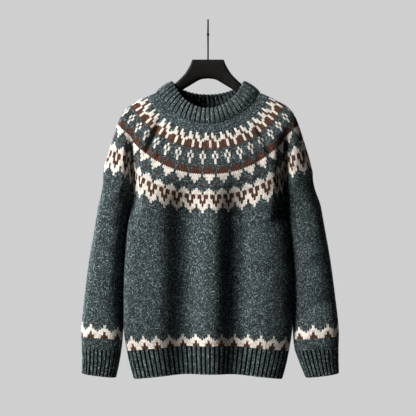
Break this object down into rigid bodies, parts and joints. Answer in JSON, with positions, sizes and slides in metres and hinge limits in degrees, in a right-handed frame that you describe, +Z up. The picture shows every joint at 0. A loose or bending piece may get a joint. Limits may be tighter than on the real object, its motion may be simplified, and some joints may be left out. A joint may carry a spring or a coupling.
{
  "type": "fair isle jumper on a clothes hanger",
  "caption": "Round-yoke fair isle wool jumper with ribbed collar, cuffs and hem, hanging on a wide wooden clothes hanger with a wire hook.",
  "frame": {"origin": "inside of the hook's crown, where the hook rests on a rail", "axes": "+Z up along the hook's stem, -Y out of the jumper's front, +X to the right of someone looking at the front"},
  "size_m": [0.604, 0.117, 0.8429],
  "materials": {
    "wool": "heathered blue-grey stockinette in fuzzy wool",
    "wool_fair_isle": "stranded colourwork in grey, cream and rust-brown wool",
    "wool_rib": "heathered blue-grey one-by-one rib",
    "dark_wood": "near-black stained wood, satin lacquer",
    "hook_wire": "black satin wire"
  },
  "bodies": {
    "root": {"collar": "wool_rib", "yoke": "wool_fair_isle", "body": "wool", "hem_rib": "wool_rib", "sleeve_left": "wool", "sleeve_right": "wool", "cuff_left": "wool_rib", "cuff_right": "wool_rib", "hanger": "dark_wood", "hook": "hook_wire"}
  },
  "joints": []
}
